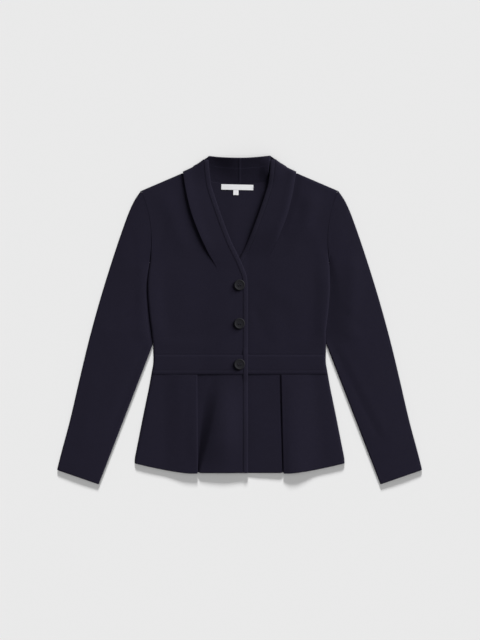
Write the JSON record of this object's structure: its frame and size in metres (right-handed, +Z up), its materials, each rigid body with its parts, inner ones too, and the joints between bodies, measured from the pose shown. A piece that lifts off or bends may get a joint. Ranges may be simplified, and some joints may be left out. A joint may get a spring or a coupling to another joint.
{
  "type": "knit peplum jacket",
  "caption": "Fitted knit jacket laid flat on its back, with a shawl lapel, bound front edge, waistband, pleated peplum and long set-in sleeves.",
  "frame": {"origin": "on the surface that the jacket lies on, under the middle of its outline", "axes": "+Z up from the surface, +Y from hem to collar, +X to the wearer's left, which is the right of the picture"},
  "size_m": [0.7496, 0.6736, 0.0176],
  "materials": {
    "knit": "fine double knit, dark navy",
    "binding": "knitted edge binding, dark navy",
    "button": "satin horn-like plastic, charcoal",
    "label": "plain woven tape, white, bare"
  },
  "bodies": {
    "root": {"back_bodice": "knit", "back_waistband": "knit", "back_peplum": "knit", "front_right": "knit", "front_left": "knit", "waistband_right": "knit", "waistband_left": "knit", "peplum_right": "knit", "peplum_left": "knit", "collar_right": "knit", "collar_left": "knit", "sleeve_right": "knit", "sleeve_left": "knit", "binding_right": "binding", "binding_left": "binding", "button_1": "button", "button_2": "button", "button_3": "button", "neck_label": "label", "size_tab": "label"}
  },
  "joints": []
}
